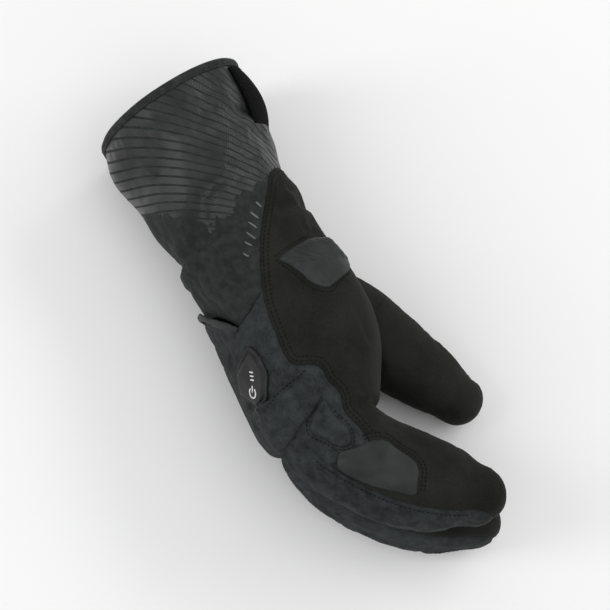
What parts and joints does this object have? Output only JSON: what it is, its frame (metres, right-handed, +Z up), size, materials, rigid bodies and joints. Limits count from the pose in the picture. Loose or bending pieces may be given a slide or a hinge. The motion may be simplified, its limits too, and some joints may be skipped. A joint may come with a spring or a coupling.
{
  "type": "heated winter glove",
  "caption": "Left heated winter glove with a long printed cuff, suede palm, woven back with a heating switch, split finger pouches and a thumb, lying on its thumb side.",
  "frame": {"origin": "middle of the flat that the hand rests on, at the floor", "axes": "+X from the cuff towards the fingers, +Y out of the palm, +Z up through the little finger's side"},
  "size_m": [0.3265, 0.1536, 0.1082],
  "materials": {
    "printed_cloth": "tight softshell with a glossy grey striped print",
    "binding_cloth": "smooth folded binding tape",
    "webbing": "flat woven webbing",
    "suede": "soft matt suede",
    "softshell": "fine plain weave, slightly mottled",
    "smooth_grey": "smooth coated cloth",
    "rubber": "satin moulded rubber"
  },
  "bodies": {
    "root": {"cuff": "printed_cloth", "cuff_binding": "binding_cloth", "cuff_loop": "webbing", "palm_panel": "suede", "back_panel": "softshell", "pocket_binding": "smooth_grey", "knuckle_band": "softshell", "outer_pouch_palm": "suede", "outer_pouch_back": "softshell", "inner_pouch_palm": "suede", "inner_pouch_back": "softshell", "finger_insert": "smooth_grey", "thumb": "suede", "heel_patch": "smooth_grey", "power_button": "rubber"}
  },
  "joints": []
}
